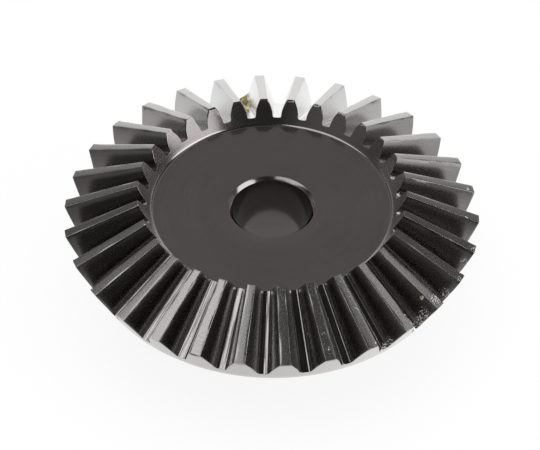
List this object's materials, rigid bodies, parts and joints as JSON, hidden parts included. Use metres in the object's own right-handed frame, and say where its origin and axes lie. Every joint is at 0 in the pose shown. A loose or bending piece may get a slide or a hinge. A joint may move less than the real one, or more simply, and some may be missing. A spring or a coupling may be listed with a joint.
{
  "type": "bevel gear",
  "caption": "Straight-toothed bevel gear of blackened steel with a dished front, a plain round bore and a turned hub behind, for driving a smaller pinion on a shaft at right angles.",
  "frame": {"origin": "centre of the bore on the hub's back face, which is the mounting face", "axes": "+Z along the bore towards the dished front and the pitch cone's apex, +X through the middle of a tooth"},
  "size_m": [0.0618, 0.0616, 0.0215],
  "materials": {
    "blackened_steel": "black oxide over machined steel, satin, worn bright on the tooth tips"
  },
  "bodies": {
    "root": {"bevel_gear": "blackened_steel"}
  },
  "joints": []
}
